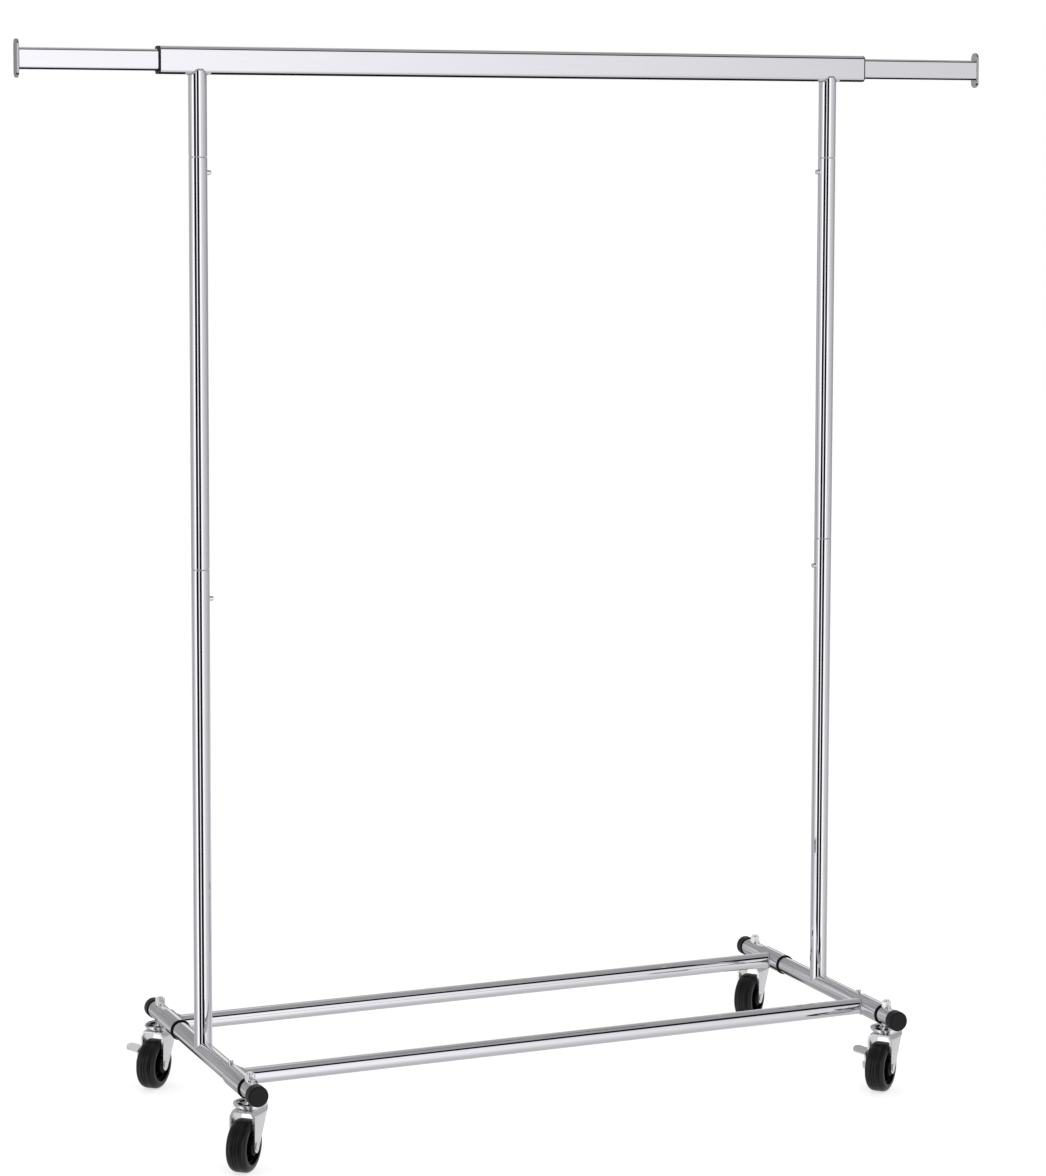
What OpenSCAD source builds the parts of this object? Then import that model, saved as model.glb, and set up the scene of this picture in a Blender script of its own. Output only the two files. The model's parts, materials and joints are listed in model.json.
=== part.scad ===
// Rolling clothes rack: two posts on a base of round tube with four swivel casters, and a flat hanging
// sleeve with a pull-out bar at each end. Origin on the floor, midway between the posts. +X runs along
// the hanging sleeve, +Y to the back, +Z up. Millimetres.

/* [Overall] */
// Distance between the two posts' axes
post_spacing = 970; // [700:10:1300]
// Distance from the front casters' stems to the back casters' stems
caster_spacing = 416; // [380:2:600]
// Distance between the two lower rails' axes
rail_spacing = 291; // [250:1:300]

/* [Base] */
// Outer diameter of the two base legs
leg_d = 25.4; // [22:0.2:30]
// Wall of the base legs
leg_wall = 1.5; // [1.2:0.1:2.5]
// Length of bare leg beyond each caster's stem
leg_overhang = 34; // [28:0.5:50]
// Outer diameter of the lower rails
rail_d = 23; // [18:0.5:24]
// Wall of the lower rails
rail_wall = 1.5; // [1:0.1:2.5]
// Wall of the collars that hold the legs in the rails
collar_wall = 1.8; // [1.5:0.1:3]
// Length of a collar
collar_l = 64; // [40:1:70]
// Distance from the front rail's axis forward to the front end of its collar
front_collar_ahead = 52; // [34:1:52]
// Distance from the back rail's axis forward to the front end of its collar
back_collar_ahead = 36; // [34:1:50]
// Length of the black ring at a collar's front end
ring_l = 2.5; // [1.5:0.5:4]
// Outer diameter of the leg caps
cap_d = 28.4; // [27.5:0.1:33]
// Length of a leg cap
cap_l = 15; // [10:1:19]
// Thickness of a leg cap's end
cap_end = 3; // [2:0.5:5]

/* [Posts] */
// Outer diameter of the posts
post_d = 25.4; // [22:0.2:28]
// Wall of the posts
post_wall = 1.5; // [1.2:0.1:2.5]
// Height of the lower joint in the posts
lower_joint_z = 780; // [600:5:900]
// Length of the middle tubes
middle_l = 566; // [400:5:700]
// Length of the short tubes under the hanging sleeve
stub_l = 112; // [90:1:200]
// Wall of the spigots inside the post joints
spigot_wall = 1.5; // [1:0.1:2]
// Length of a spigot below its joint
spigot_below = 82; // [75:1:110]
// Length of a spigot above its joint
spigot_above = 60; // [30:1:80]

/* [Hanging rail] */
// Length of the hanging sleeve
sleeve_l = 1080; // [900:10:1300]
// Height of the hanging sleeve
sleeve_h = 38.2; // [34:0.2:50]
// Depth of the hanging sleeve
sleeve_t = 24; // [20:0.5:30]
// Wall of the hanging sleeve
sleeve_wall = 1.5; // [1:0.1:2.5]
// Corner radius of the hanging sleeve
sleeve_r = 7; // [4:0.5:9]
// Height of a pull-out bar
bar_h = 29.4; // [26:0.2:31]
// Depth of a pull-out bar
bar_t = 16.4; // [12:0.2:17]
// Wall of a pull-out bar
bar_wall = 1.2; // [1:0.1:2]
// Corner radius of a pull-out bar
bar_r = 5; // [3:0.5:7]
// Length of a pull-out bar that shows when it is drawn out
bar_out = 194; // [120:1:240]
// Length of a pull-out bar that stays inside the sleeve
bar_in = 160; // [100:5:200]
// Length of the guide in each end of the sleeve
guide_l = 22; // [12:1:30]
// Length of the slider on a bar's inner end
slider_l = 32; // [20:1:50]
// Height of an end plate
plate_h = 52; // [46:1:70]
// Width of an end plate
plate_w = 17; // [14:0.5:24]
// Thickness of an end plate
plate_t = 4; // [2:0.5:6]

/* [Spring buttons] */
// Diameter of a spring button
button_d = 7; // [5:0.5:9]
// Height that a button stands out of its tube
button_out = 5.5; // [4:0.5:7]
// Travel of a button when it is pressed
button_travel = 5; // [3:0.5:6]
// Distance of the upper post buttons below their joint
upper_button_drop = 21; // [15:1:40]
// Distance of the lower post buttons below their joint
lower_button_drop = 41; // [20:1:50]
// Distance of a leg button behind the front collar
leg_button_gap = 5; // [4.5:0.5:12]

/* [Casters] */
// Diameter of a wheel
wheel_d = 71; // [64:1:76]
// Width of a wheel
wheel_w = 28; // [20:1:30]
// Distance from the swivel's axis to the axle
trail = 22; // [20:1:28]
// Gap between the wheel's top and the fork's crown
crown_gap = 9.5; // [7:0.5:12]
// Width of a fork across the outsides of its legs
fork_w = 37; // [36:0.5:44]
// Thickness of the fork's steel
fork_t = 2.5; // [2:0.1:2.6]
// Diameter of the swivel head
head_d = 46; // [40:1:48]
// Height of the swivel head up to the leg
head_h = 7.7; // [6.5:0.1:10]
// Diameter of the caster's stem
stem_d = 8; // [6:0.5:10]
// Diameter of the kingpin's journal under the swivel head
kingpin_d = 14; // [12:0.5:16]
// Diameter of the axle
axle_d = 8; // [6:0.5:10]
// Directions in which the casters trail, front left, front right, back left, back right
caster_turns = [229, 221, 227, 221]; // [200:1:260]

/* [Brakes] */
// Distance from the axle to a brake lever's tab
lever_l = 24; // [20:0.5:28]
// Lean of a brake lever towards the way the caster trails, in degrees
lever_lean = 20; // [0:1:30]
// Distance that the tab stands out from the fork
tab_out = 20; // [14:0.5:26]
// Width of the tab
tab_w = 16; // [12:0.5:20]
// Thickness of the lever's steel
lever_t = 2.5; // [2:0.1:3]

/* [Hidden] */

round_fn = 96;
edge_fn = 48;
fit = 0.1;
slide_fit = 0.3;
run_fit = 0.08;
face_gap = 0.3;

// Heights
axle_z = wheel_d / 2;
crown_z = wheel_d + crown_gap;
race_h = 1.3;
head_z = crown_z + fork_t + race_h;
leg_r = leg_d / 2;
leg_z = head_z + head_h + leg_r;
leg_top = leg_z + leg_r;
upper_joint_z = lower_joint_z + middle_l;
sleeve_z = upper_joint_z + stub_l;
sleeve_mid_z = sleeve_z + sleeve_h / 2;
sleeve_top = sleeve_z + sleeve_h;

// Places along X and Y
post_x = post_spacing / 2;
caster_y = caster_spacing / 2;
rail_y = rail_spacing / 2;
leg_half = caster_y + leg_overhang;
leg_in_r = leg_r - leg_wall;
cap_gap = 0.05;
cap_half = leg_half + cap_end;
collar_r = leg_r + fit + collar_wall;
front_collar_y = -rail_y - front_collar_ahead;
back_collar_y = rail_y - back_collar_ahead;
ring_r = collar_r + 0.3;
leg_button_y = front_collar_y + collar_l + leg_button_gap + button_d / 2;
post_r = post_d / 2;
post_in_r = post_r - post_wall;
spigot_r = post_in_r - fit;
spigot_in_r = spigot_r - spigot_wall;
post_grip = 6;
button_r = button_d / 2;
hole_r = button_r + face_gap;
lower_button_z = lower_joint_z - lower_button_drop;
upper_button_z = upper_joint_z - upper_button_drop;

// Inside a button: its flange and the two arms of its spring clip
flange_d = 10;
flange_t = 1.5;
clip_w = 6;
clip_t = 0.8;
clip_l = 34;
clip_reach = 9;
clip_foot = 2;
arm_foot_x = -1;
seat_gap = 0.02;

// Hanging rail
sleeve_half = sleeve_l / 2;
bar_half = sleeve_half + bar_out;
bar_length = bar_out + bar_in;
guide_lip = 1.5;
plate_x = bar_half + plate_t / 2;

// Casters
stem_r = stem_d / 2;
stem_hole_r = stem_r + 0.2;
kingpin_r = kingpin_d / 2;
kingpin_hole_r = kingpin_r + run_fit;
kingpin_head_r = kingpin_r + 2;
kingpin_head_t = 1.6;
race_in_r = kingpin_r + 1.5;
race_w = 8;
head_boss_r = 7.2;
nut_af = 13;
nut_r = nut_af / sqrt(3);
nut_h = 7;
washer_r = 7.2;
washer_t = 1.5;
saddle_sink = 1.2;
nut_z = leg_top + 0.4;
thread_end = 2.5;
axle_r = axle_d / 2;
axle_hole_r = axle_r + 0.05;
axle_head_r = 5.5;
axle_head_t = 1.6;
axle_nut_r = 6.5;
axle_nut_t = 4;
axle_end = 1.5;
fork_out = fork_w / 2;
fork_in = fork_out - fork_t;
hub_w = 2 * (fork_in - face_gap);
hub_r = 12;
rim_r = 24.5;
rim_w = wheel_w - 8;
tyre_bore = rim_r + fit;
tyre_edge = 8;

// Fork: a flat crown, sloping shoulders and legs that taper to a round tip
shoulder_drop = 7;
shoulder_w = 4;
fork_tip_r = 7.5;
fork_tip_drop = 1.5;
fork_front = trail + 6;
fork_back = -14;
crown_back = -22;
flange_in = wheel_w / 2 + 1;
flange_low = axle_z + 12;

// Brake levers on the axle's end, outside the fork's leg
lever_in = fork_out + face_gap;
lever_out = lever_in + lever_t;
lever_r = 8;
lever_arm_w = 12;
tab_slope = 12;
lever_nut_in = lever_out + face_gap;

caster_x_signs = [-1, 1, -1, 1];
caster_y_signs = [-1, -1, 1, 1];

// ---- Shapes that repeat ----

// Tube along Z from z0 to z1
module tube(r_out, r_in, z0, z1) {
    translate([0, 0, z0])
        difference() {
            cylinder(r = r_out, h = z1 - z0, $fn = round_fn);
            translate([0, 0, -1]) cylinder(r = r_in, h = z1 - z0 + 2, $fn = round_fn);
        }
}

// Solid or hole along Y, centred on y = 0
module rod_y(r, length) {
    rotate([90, 0, 0]) cylinder(r = r, h = length, center = true, $fn = round_fn);
}

// Solid or hole along X, centred on x = 0
module rod_x(r, length) {
    rotate([0, 90, 0]) cylinder(r = r, h = length, center = true, $fn = round_fn);
}

// Rectangle with round corners, from arcs of circles
module round_rect(w, h, r) {
    square([w - 2 * r, h], center = true);
    square([w, h - 2 * r], center = true);
    for (x = [-1, 1])
        for (y = [-1, 1])
            translate([x * (w / 2 - r), y * (h / 2 - r)]) circle(r = r, $fn = edge_fn);
}

// Bar along X with a round-cornered section, its middle at the sleeve's middle
module flat_bar(x0, x1, t, h, r) {
    translate([x0, 0, sleeve_mid_z])
        rotate([90, 0, 90])
            linear_extrude(height = x1 - x0) round_rect(t, h, r);
}

// Moves its children to each side: -1 left, 1 right
module at_side(side) {
    translate([side * post_x, 0, 0]) children();
}

// Moves its children to a caster's swivel axis
module at_caster(i) {
    translate([caster_x_signs[i] * post_x, caster_y_signs[i] * caster_y, 0]) children();
}

// Turns its children so that +X is the way the caster trails and +Y is its axle
module in_caster(i) {
    at_caster(i) rotate([0, 0, caster_turns[i]]) children();
}

// ---- Base ----

module rail(y) {
    color("gainsboro")
        difference() {
            translate([0, y, leg_z]) rod_x(rail_d / 2, post_spacing);
            translate([0, y, leg_z]) rod_x(rail_d / 2 - rail_wall, post_spacing + 2);
            for (side = [-1, 1])
                at_side(side) translate([0, y, leg_z]) rod_y(collar_r, 2 * collar_l);
        }
}

module front_rail() {
    rail(-rail_y);
}

module back_rail() {
    rail(rail_y);
}

module collar(y0) {
    translate([0, y0 + collar_l / 2, leg_z])
        difference() {
            rod_y(collar_r, collar_l);
            rod_y(leg_r + fit, collar_l + 2);
        }
}

module rail_collars() {
    color("gainsboro")
        for (side = [-1, 1])
            for (y0 = [front_collar_y, back_collar_y])
                at_side(side) collar(y0);
}

module collar_rings() {
    color("black")
        for (side = [-1, 1])
            for (y0 = [front_collar_y, back_collar_y])
                at_side(side)
                    translate([0, y0 - ring_l / 2, leg_z])
                        difference() {
                            rod_y(ring_r, ring_l);
                            rod_y(leg_r + fit, ring_l + 2);
                        }
}

module leg(side) {
    color("silver")
        at_side(side)
            difference() {
                translate([0, 0, leg_z]) rod_y(leg_r, 2 * leg_half);
                translate([0, 0, leg_z]) rod_y(leg_in_r, 2 * leg_half + 2);
                for (y = [-caster_y, caster_y])
                    translate([0, y, leg_z])
                        cylinder(r = stem_hole_r, h = leg_d + 2, center = true, $fn = round_fn);
                translate([0, leg_button_y, leg_z]) cylinder(r = hole_r, h = leg_d, $fn = round_fn);
            }
}

module left_leg() {
    leg(-1);
}

module right_leg() {
    leg(1);
}

// Profile of a leg cap with a rounded end, turned about the leg's axis
module cap_profile() {
    edge = 2.5;
    difference() {
        union() {
            square([cap_d / 2, cap_l - edge]);
            square([cap_d / 2 - edge, cap_l]);
            translate([cap_d / 2 - edge, cap_l - edge]) circle(r = edge, $fn = edge_fn);
        }
        translate([-1, -1]) square([leg_r + cap_gap + 1, cap_l - cap_end + 1]);
        translate([-cap_d, -1]) square([cap_d, cap_l + 2]);
    }
}

module leg_caps() {
    color("black")
        for (side = [-1, 1])
            for (end = [-1, 1])
                at_side(side)
                    translate([0, end * (cap_half - cap_l), leg_z])
                        rotate([-90 * end, 0, 0]) rotate_extrude($fn = round_fn) cap_profile();
}

// ---- Posts ----

// Hole for a button that points at the middle of the rack
module post_button_hole(side, z) {
    translate([-side * post_r, 0, z]) rod_x(hole_r, post_r);
}

module lower_post(side) {
    color("gainsboro")
        difference() {
            at_side(side)
                difference() {
                    tube(post_r, post_in_r, leg_z, lower_joint_z - fit);
                    post_button_hole(side, lower_button_z);
                }
            at_side(side) translate([0, 0, leg_z]) rod_y(leg_r, 3 * post_d);
        }
}

module left_lower_post() {
    lower_post(-1);
}

module right_lower_post() {
    lower_post(1);
}

module middle_post(side) {
    color("gainsboro")
        at_side(side)
            difference() {
                tube(post_r, post_in_r, lower_joint_z, upper_joint_z - fit);
                post_button_hole(side, upper_button_z);
            }
}

module left_middle_post() {
    middle_post(-1);
}

module right_middle_post() {
    middle_post(1);
}

module top_stub(side) {
    color("gainsboro")
        difference() {
            at_side(side) tube(post_r, post_in_r, upper_joint_z, sleeve_z + post_grip);
            flat_bar(-sleeve_half, sleeve_half, sleeve_t, sleeve_h, sleeve_r);
        }
}

module left_top_stub() {
    top_stub(-1);
}

module right_top_stub() {
    top_stub(1);
}

// Inner tubes that join two lengths of post, with a hole for the button
module spigots(joint_z, button_z) {
    color("silver")
        for (side = [-1, 1])
            at_side(side)
                difference() {
                    tube(spigot_r, spigot_in_r, joint_z - spigot_below, joint_z + spigot_above);
                    post_button_hole(side, button_z);
                }
}

module lower_spigots() {
    spigots(lower_joint_z, lower_button_z);
}

module upper_spigots() {
    spigots(upper_joint_z, upper_button_z);
}

// ---- Spring buttons ----

// Button along +X on a tube whose outside is at x = r_out and inside at x = r_in, with the clip's
// moving arm hanging down from it
module button(r_out, r_in) {
    tip = r_out + button_out;
    dome = 1.6;
    flange_x = sqrt(r_in * r_in - flange_d * flange_d / 4) - face_gap - flange_t;
    foot_x = arm_foot_x;
    color("silver") {
        rotate([0, 90, 0])
            rotate_extrude($fn = round_fn) {
                square([button_r - dome, tip]);
                square([button_r, tip - dome]);
                intersection() {
                    translate([button_r - dome, tip - dome]) circle(r = dome, $fn = edge_fn);
                    square([button_r, tip]);
                }
                translate([0, flange_x]) square([flange_d / 2, flange_t]);
            }
        translate([0, clip_w / 2, 0])
            rotate([90, 0, 0])
                linear_extrude(height = clip_w)
                    polygon([
                        [flange_x, 0],
                        [flange_x - clip_t, -flange_d / 2],
                        [foot_x, -clip_l],
                        [foot_x + clip_t, -clip_l],
                        [flange_x, -flange_d / 2],
                        [flange_x + flange_t, 0]
                    ]);
    }
}

// Fixed arm of a spring clip, flat against the far wall of the tube, with its bend at the foot
module clip(r_in) {
    wall_x = -sqrt(r_in * r_in - clip_w * clip_w / 4) + seat_gap;
    color("silver")
        translate([wall_x, clip_w / 2, 0])
            rotate([90, 0, 0])
                linear_extrude(height = clip_w) {
                    translate([0, -clip_l - clip_foot]) square([clip_t, clip_l + clip_reach]);
                    translate([0, -clip_l - clip_foot]) square([arm_foot_x - wall_x + clip_t, clip_t]);
                }
}

module post_button(side, z) {
    at_side(side)
        translate([0, 0, z])
            rotate([0, 0, side < 0 ? 0 : 180]) button(post_r, spigot_in_r);
}

module left_lower_button() {
    post_button(-1, lower_button_z);
}

module right_lower_button() {
    post_button(1, lower_button_z);
}

module left_upper_button() {
    post_button(-1, upper_button_z);
}

module right_upper_button() {
    post_button(1, upper_button_z);
}

// Turns a button or clip made along +X so that it points up, with its arm towards +Y
module in_leg(side) {
    at_side(side)
        translate([0, leg_button_y, leg_z])
            rotate([0, -90, 0]) rotate([90, 0, 0]) children();
}

module left_leg_button() {
    in_leg(-1) button(leg_r, leg_in_r);
}

module right_leg_button() {
    in_leg(1) button(leg_r, leg_in_r);
}

module button_clips() {
    for (side = [-1, 1]) {
        in_leg(side) clip(leg_in_r);
        for (z = [lower_button_z, upper_button_z])
            at_side(side)
                translate([0, 0, z]) rotate([0, 0, side < 0 ? 0 : 180]) clip(spigot_in_r);
    }
}

// ---- Hanging rail ----

module hanging_sleeve() {
    color("whitesmoke")
        difference() {
            flat_bar(-sleeve_half, sleeve_half, sleeve_t, sleeve_h, sleeve_r);
            flat_bar(
                -sleeve_half - 1, sleeve_half + 1,
                sleeve_t - 2 * sleeve_wall, sleeve_h - 2 * sleeve_wall, sleeve_r - sleeve_wall
            );
        }
}

// Plastic guide in each mouth of the sleeve, with a lip over the sleeve's end
module sleeve_guides() {
    color("black")
        for (side = [-1, 1]) {
            inner = min(side * (sleeve_half - guide_l), side * sleeve_half);
            lip = min(side * sleeve_half, side * (sleeve_half + guide_lip));
            difference() {
                union() {
                    flat_bar(
                        inner, inner + guide_l,
                        sleeve_t - 2 * sleeve_wall - 2 * fit, sleeve_h - 2 * sleeve_wall - 2 * fit,
                        sleeve_r - sleeve_wall - fit
                    );
                    flat_bar(lip, lip + guide_lip, sleeve_t, sleeve_h, sleeve_r);
                }
                flat_bar(
                    inner - guide_lip - 1, inner + guide_l + guide_lip + 1,
                    bar_t + 2 * slide_fit, bar_h + 2 * slide_fit, bar_r + slide_fit
                );
            }
        }
}

module bar(side) {
    x0 = side < 0 ? -bar_half : bar_half - bar_length;
    color("gainsboro")
        difference() {
            flat_bar(x0, x0 + bar_length, bar_t, bar_h, bar_r);
            flat_bar(
                x0 - 1, x0 + bar_length + 1,
                bar_t - 2 * bar_wall, bar_h - 2 * bar_wall, bar_r - bar_wall
            );
        }
}

module left_bar() {
    bar(-1);
}

module right_bar() {
    bar(1);
}

// Plastic slider around a bar's inner end, which fills the sleeve
module slider(side) {
    x0 = side < 0 ? bar_length - bar_half - slider_l : bar_half - bar_length;
    color("black")
        difference() {
            flat_bar(
                x0, x0 + slider_l,
                sleeve_t - 2 * sleeve_wall - 2 * slide_fit, sleeve_h - 2 * sleeve_wall - 2 * slide_fit,
                sleeve_r - sleeve_wall - slide_fit
            );
            flat_bar(x0 - 1, x0 + slider_l + 1, bar_t + 2 * cap_gap, bar_h + 2 * cap_gap, bar_r + cap_gap);
        }
}

module left_slider() {
    slider(-1);
}

module right_slider() {
    slider(1);
}

// Upright plate with round ends, welded on a bar's outer end
module end_plate(side) {
    color("silver")
        translate([side * plate_x, 0, sleeve_mid_z])
            rotate([90, 0, 90])
                linear_extrude(height = plate_t, center = true) {
                    square([plate_w, plate_h - plate_w], center = true);
                    for (end = [-1, 1])
                        translate([0, end * (plate_h - plate_w) / 2]) circle(d = plate_w, $fn = round_fn);
                }
}

module left_end_plate() {
    end_plate(-1);
}

module right_end_plate() {
    end_plate(1);
}

// Weld beads where the posts meet the sleeve and the rails meet their collars
module weld_beads() {
    bead = 2;
    sink = 6;
    color("silver") {
        for (side = [-1, 1]) {
            difference() {
                at_side(side)
                    translate([0, 0, sleeve_z - bead])
                        rotate_extrude($fn = round_fn)
                            translate([post_r, 0])
                                polygon([[0, -bead], [bead, bead], [0, bead + post_grip]]);
                flat_bar(-sleeve_half, sleeve_half, sleeve_t, sleeve_h, sleeve_r);
            }
            for (y = [-rail_y, rail_y])
                difference() {
                    at_side(side)
                        translate([-side * collar_r, y, leg_z])
                            rotate([0, -90 * side, 0])
                                rotate_extrude($fn = round_fn)
                                    translate([rail_d / 2, 0])
                                        polygon([[0, -sink], [bead, -sink], [bead, 0], [0, bead]]);
                    at_side(side) translate([0, y, leg_z]) rod_y(collar_r, 2 * collar_l);
                }
        }
    }
}

// ---- Casters: the parts that stay with the frame ----

// Swivel head: two stepped discs with a groove in the top, a boss that seats the leg, and the race below
module caster_heads() {
    low_t = 1.2;
    neck_t = 0.6;
    top_t = 2;
    step = 1;
    groove_in = head_boss_r + 1.5;
    groove_out = head_d / 2 - 3.5;
    color("silver")
        for (i = [0:3])
            at_caster(i)
                difference() {
                    translate([0, 0, head_z])
                        rotate_extrude($fn = round_fn) {
                            square([head_d / 2 - step, low_t]);
                            translate([0, low_t]) square([head_d / 2 - 2 * step, neck_t]);
                            translate([0, low_t + neck_t]) square([head_d / 2, top_t]);
                            square([head_boss_r, head_h + 4]);
                            translate([race_in_r, face_gap - race_h]) square([race_w, race_h - face_gap]);
                        }
                    translate([0, 0, leg_z]) rod_y(leg_r, 2 * head_d);
                    translate([0, 0, head_z - 3]) cylinder(r = stem_hole_r, h = head_h + 9, $fn = round_fn);
                    translate([0, 0, head_z + low_t + neck_t + 1])
                        difference() {
                            cylinder(r = groove_out, h = top_t, $fn = round_fn);
                            translate([0, 0, -1]) cylinder(r = groove_in, h = top_t + 2, $fn = round_fn);
                        }
                }
}

// Kingpin and threaded stem: journal in the fork's crown, and the bolt up through the leg
module caster_stems() {
    head_low = crown_z - face_gap - kingpin_head_t;
    stem_end = nut_z + washer_t + nut_h + thread_end;
    color("silver")
        for (i = [0:3])
            at_caster(i) {
                translate([0, 0, head_low])
                    cylinder(r = kingpin_head_r, h = kingpin_head_t, $fn = round_fn);
                translate([0, 0, head_low]) cylinder(r = kingpin_r, h = head_z - head_low, $fn = round_fn);
                translate([0, 0, head_low])
                    cylinder(r = stem_r, h = stem_end - head_low, $fn = round_fn);
            }
}

// Saddle washer and hex nut on top of each leg
module stem_nuts() {
    color("silver")
        for (i = [0:3])
            at_caster(i)
                difference() {
                    union() {
                        translate([0, 0, nut_z - saddle_sink])
                            cylinder(r = washer_r, h = washer_t + saddle_sink, $fn = round_fn);
                        translate([0, 0, nut_z + washer_t]) cylinder(r = nut_r, h = nut_h, $fn = 6);
                    }
                    translate([0, 0, leg_z]) cylinder(r = stem_r + 0.05, h = 3 * leg_d, $fn = round_fn);
                    translate([0, 0, leg_z]) rod_y(leg_r, 2 * leg_d);
                }
}

// ---- Casters: the parts that swivel ----

// Side of a fork: upright at the front, sloping at the back, round below the axle
module fork_side() {
    tip_z = axle_z - fork_tip_drop;
    tip_x = fork_front - fork_tip_r;
    back = [fork_back - tip_x, crown_z - shoulder_drop - tip_z];
    turn = atan2(back[1], back[0]) - acos(fork_tip_r / norm(back));
    translate([tip_x, tip_z]) circle(r = fork_tip_r, $fn = edge_fn);
    polygon([
        [tip_x, tip_z],
        [fork_front, tip_z],
        [fork_front, crown_z + fork_t],
        [crown_back, crown_z + fork_t],
        [crown_back, crown_z - 1],
        [fork_back, crown_z - shoulder_drop],
        [tip_x + fork_tip_r * cos(turn + 2 * acos(fork_tip_r / norm(back))), tip_z
            + fork_tip_r * sin(turn + 2 * acos(fork_tip_r / norm(back)))]
    ]);
}

// Half of the fork's section across the wheel, from the middle of the crown to the end of a leg
module fork_wall(out, top) {
    polygon([
        [0, 0],
        [out, 0],
        [out, top - shoulder_drop],
        [out - shoulder_w, top],
        [0, top]
    ]);
}

module fork_shell() {
    intersection() {
        translate([0, 2 * fork_w, 0]) rotate([90, 0, 0]) linear_extrude(height = 4 * fork_w) fork_side();
        translate([-2 * fork_w, 0, 0])
            rotate([90, 0, 90])
                linear_extrude(height = 4 * fork_w)
                    for (s = [0, 1])
                        mirror([s, 0])
                            difference() {
                                fork_wall(fork_out, crown_z + fork_t);
                                translate([-1, -1]) fork_wall(fork_in + 1, crown_z + 1);
                            }
    }
}

module fork(i) {
    color("lightgray")
        in_caster(i)
            difference() {
                union() {
                    fork_shell();
                    for (s = [-1, 1])
                        translate([fork_front - fork_t, s * (flange_in + fork_out) / 2, 0])
                            translate([0, (flange_in - fork_out) / 2, flange_low])
                                cube([fork_t, fork_out - flange_in, crown_z - shoulder_drop - flange_low]);
                }
                translate([0, 0, crown_z - 1]) cylinder(r = kingpin_hole_r, h = fork_t + 2, $fn = round_fn);
                translate([trail, 0, axle_z]) rod_y(axle_hole_r, 3 * wheel_w);
            }
}

module front_left_fork() {
    fork(0);
}

module front_right_fork() {
    fork(1);
}

module back_left_fork() {
    fork(2);
}

module back_right_fork() {
    fork(3);
}

// Axle bolt through both fork legs, with its head on one side and a nut on the other, which holds the
// brake lever on a braked caster
module axle(i, nut_in) {
    color("silver")
        in_caster(i)
            translate([trail, 0, axle_z])
                rotate([90, 0, 0]) {
                    translate([0, 0, -fork_out])
                        cylinder(r = axle_r, h = fork_out + nut_in + axle_nut_t + axle_end, $fn = round_fn);
                    translate([0, 0, -fork_out - axle_head_t])
                        cylinder(r = axle_head_r, h = axle_head_t, $fn = round_fn);
                    translate([0, 0, nut_in]) cylinder(r = axle_nut_r, h = axle_nut_t, $fn = 6);
                }
}

module front_left_axle() {
    axle(0, fork_out);
}

module front_right_axle() {
    axle(1, lever_nut_in);
}

module back_left_axle() {
    axle(2, lever_nut_in);
}

module back_right_axle() {
    axle(3, fork_out);
}

// Section of the tyre across the wheel: crowned tread with round shoulders
module tyre_profile() {
    crown = wheel_d / 2;
    intersection() {
        union() {
            translate([tyre_bore, -wheel_w / 2]) square([crown - tyre_edge - tyre_bore, wheel_w]);
            translate([tyre_bore, -wheel_w / 2 + tyre_edge])
                square([crown - tyre_bore, wheel_w - 2 * tyre_edge]);
            for (s = [-1, 1])
                translate([crown - tyre_edge, s * (wheel_w / 2 - tyre_edge)])
                    circle(r = tyre_edge, $fn = edge_fn);
        }
        translate([tyre_bore, -wheel_w / 2]) square([crown, wheel_w]);
    }
}

module tyre(i) {
    color("black")
        in_caster(i)
            translate([trail, 0, axle_z])
                rotate([90, 0, 0]) rotate_extrude($fn = round_fn) tyre_profile();
}

module front_left_tyre() {
    tyre(0);
}

module front_right_tyre() {
    tyre(1);
}

module back_left_tyre() {
    tyre(2);
}

module back_right_tyre() {
    tyre(3);
}

// Wheel centre: a rim for the tyre, a thin web and a wide hub with a bore for the axle
module hub(i) {
    web = 5;
    lip = 4;
    color("dimgray")
        in_caster(i)
            translate([trail, 0, axle_z])
                rotate([90, 0, 0])
                    rotate_extrude($fn = round_fn) {
                        translate([axle_r + run_fit, -hub_w / 2]) square([hub_r - axle_r - run_fit, hub_w]);
                        translate([hub_r, -web / 2]) square([rim_r - hub_r, web]);
                        translate([rim_r - lip, -rim_w / 2]) square([lip, rim_w]);
                    }
}

module front_left_hub() {
    hub(0);
}

module front_right_hub() {
    hub(1);
}

module back_left_hub() {
    hub(2);
}

module back_right_hub() {
    hub(3);
}

// ---- Brakes ----

// Lever: an eye on the axle, an arm up the outside of the fork and a tab that stands out for the foot
module lever(i) {
    color("lightgray")
        in_caster(i)
            translate([trail, 0, axle_z])
                rotate([0, lever_lean, 0])
                    difference() {
                        union() {
                            translate([0, -lever_in, 0])
                                rotate([90, 0, 0])
                                    linear_extrude(height = lever_t) {
                                        circle(r = lever_r, $fn = round_fn);
                                        translate([-lever_arm_w / 2, 0]) square([lever_arm_w, lever_l]);
                                    }
                            translate([0, -lever_in, lever_l])
                                rotate([-tab_slope, 0, 0])
                                    translate([0, -tab_out, -lever_t]) {
                                        translate([-tab_w / 2, tab_w / 2, 0])
                                            cube([tab_w, tab_out - tab_w / 2 - face_gap, lever_t]);
                                        translate([0, tab_w / 2, 0])
                                            cylinder(d = tab_w, h = lever_t, $fn = round_fn);
                                    }
                        }
                        rod_y(axle_r + run_fit, 4 * fork_w);
                    }
}

module front_right_lever() {
    lever(1);
}

module back_left_lever() {
    lever(2);
}

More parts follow.
